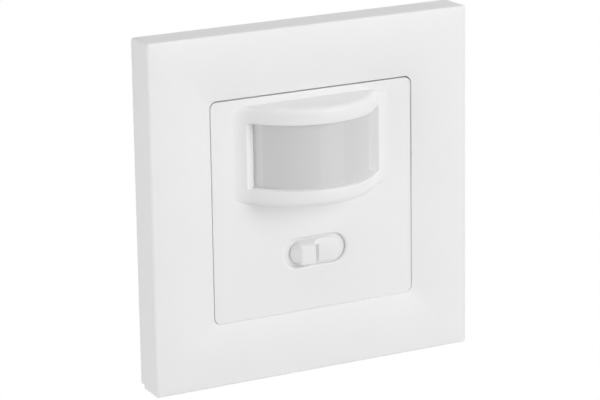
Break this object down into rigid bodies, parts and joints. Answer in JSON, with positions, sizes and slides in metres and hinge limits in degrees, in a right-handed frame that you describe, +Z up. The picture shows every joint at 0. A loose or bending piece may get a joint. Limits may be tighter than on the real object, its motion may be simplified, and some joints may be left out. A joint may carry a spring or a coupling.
{
  "type": "motion sensor light switch",
  "caption": "Square white flush wall switch with a curved infrared lens under a rounded hood, a mode slide below it and a round rear housing with screw terminals for a wall box.",
  "frame": {"origin": "middle of the box screw pattern, on the rear face of the mounting ring, which is the wall's surface", "axes": "+Z up the wall, +Y into the wall, the front faces -Y, +X to the right seen from the front"},
  "size_m": [0.08, 0.0442, 0.08],
  "materials": {
    "white_plastic": "satin",
    "lens_plastic": "milky satin",
    "grey_plastic": "moulded",
    "black_plastic": "moulded",
    "board_green": "lacquered",
    "insulator_brown": "moulded",
    "trimmer_blue": "moulded",
    "dial_cream": "moulded",
    "film_yellow": "moulded",
    "capacitor_blue": "sleeved",
    "varistor_blue": "dipped",
    "cell_orange": "coated",
    "filter_glass": "polished",
    "zinc_steel": "zinc plated",
    "nickel": "nickel plated",
    "brass": "plain"
  },
  "bodies": {
    "base": {"cover_frame": "white_plastic", "sensor_cover": "white_plastic", "fresnel_lens": "lens_plastic", "lens_retainer": "white_plastic", "mounting_ring": "zinc_steel", "sensor_carrier": "grey_plastic", "sensor_board": "board_green", "pir_can": "nickel", "pir_window": "filter_glass", "pir_base": "nickel", "photocell": "cell_orange", "control_chip": "black_plastic", "switch_case": "nickel", "switch_base": "insulator_brown", "time_trimmer": "trimmer_blue", "lux_trimmer": "trimmer_blue", "header_strip": "black_plastic", "header_pins": "brass", "power_board": "board_green", "relay": "black_plastic", "film_capacitor": "film_yellow", "smoothing_capacitor": "capacitor_blue", "varistor": "varistor_blue", "fuse": "insulator_brown", "bridge_rectifier": "black_plastic", "terminal_block": "grey_plastic", "terminal_clamps": "brass", "terminal_screws": "zinc_steel", "rear_housing": "grey_plastic", "housing_screws": "zinc_steel", "board_screws": "zinc_steel"},
    "mode_slide": {"slide_knob": "white_plastic", "switch_slider": "black_plastic"},
    "time_setting": {"time_dial": "dial_cream"},
    "lux_setting": {"lux_dial": "dial_cream"}
  },
  "joints": [
    {"name": "mode_slide_travel", "type": "slide", "parent": "base", "child": "mode_slide", "axis": [1, 0, 0], "range_m": [-0.0015, 0.0015]},
    {"name": "time_dial_turn", "type": "hinge", "parent": "base", "child": "time_setting", "pos_m": [-0.0115, 0.0016, -0.002], "axis": [0, -1, 0], "range_deg": [-135, 135]},
    {"name": "lux_dial_turn", "type": "hinge", "parent": "base", "child": "lux_setting", "pos_m": [0.0115, 0.0016, -0.002], "axis": [0, -1, 0], "range_deg": [-135, 135]}
  ]
}
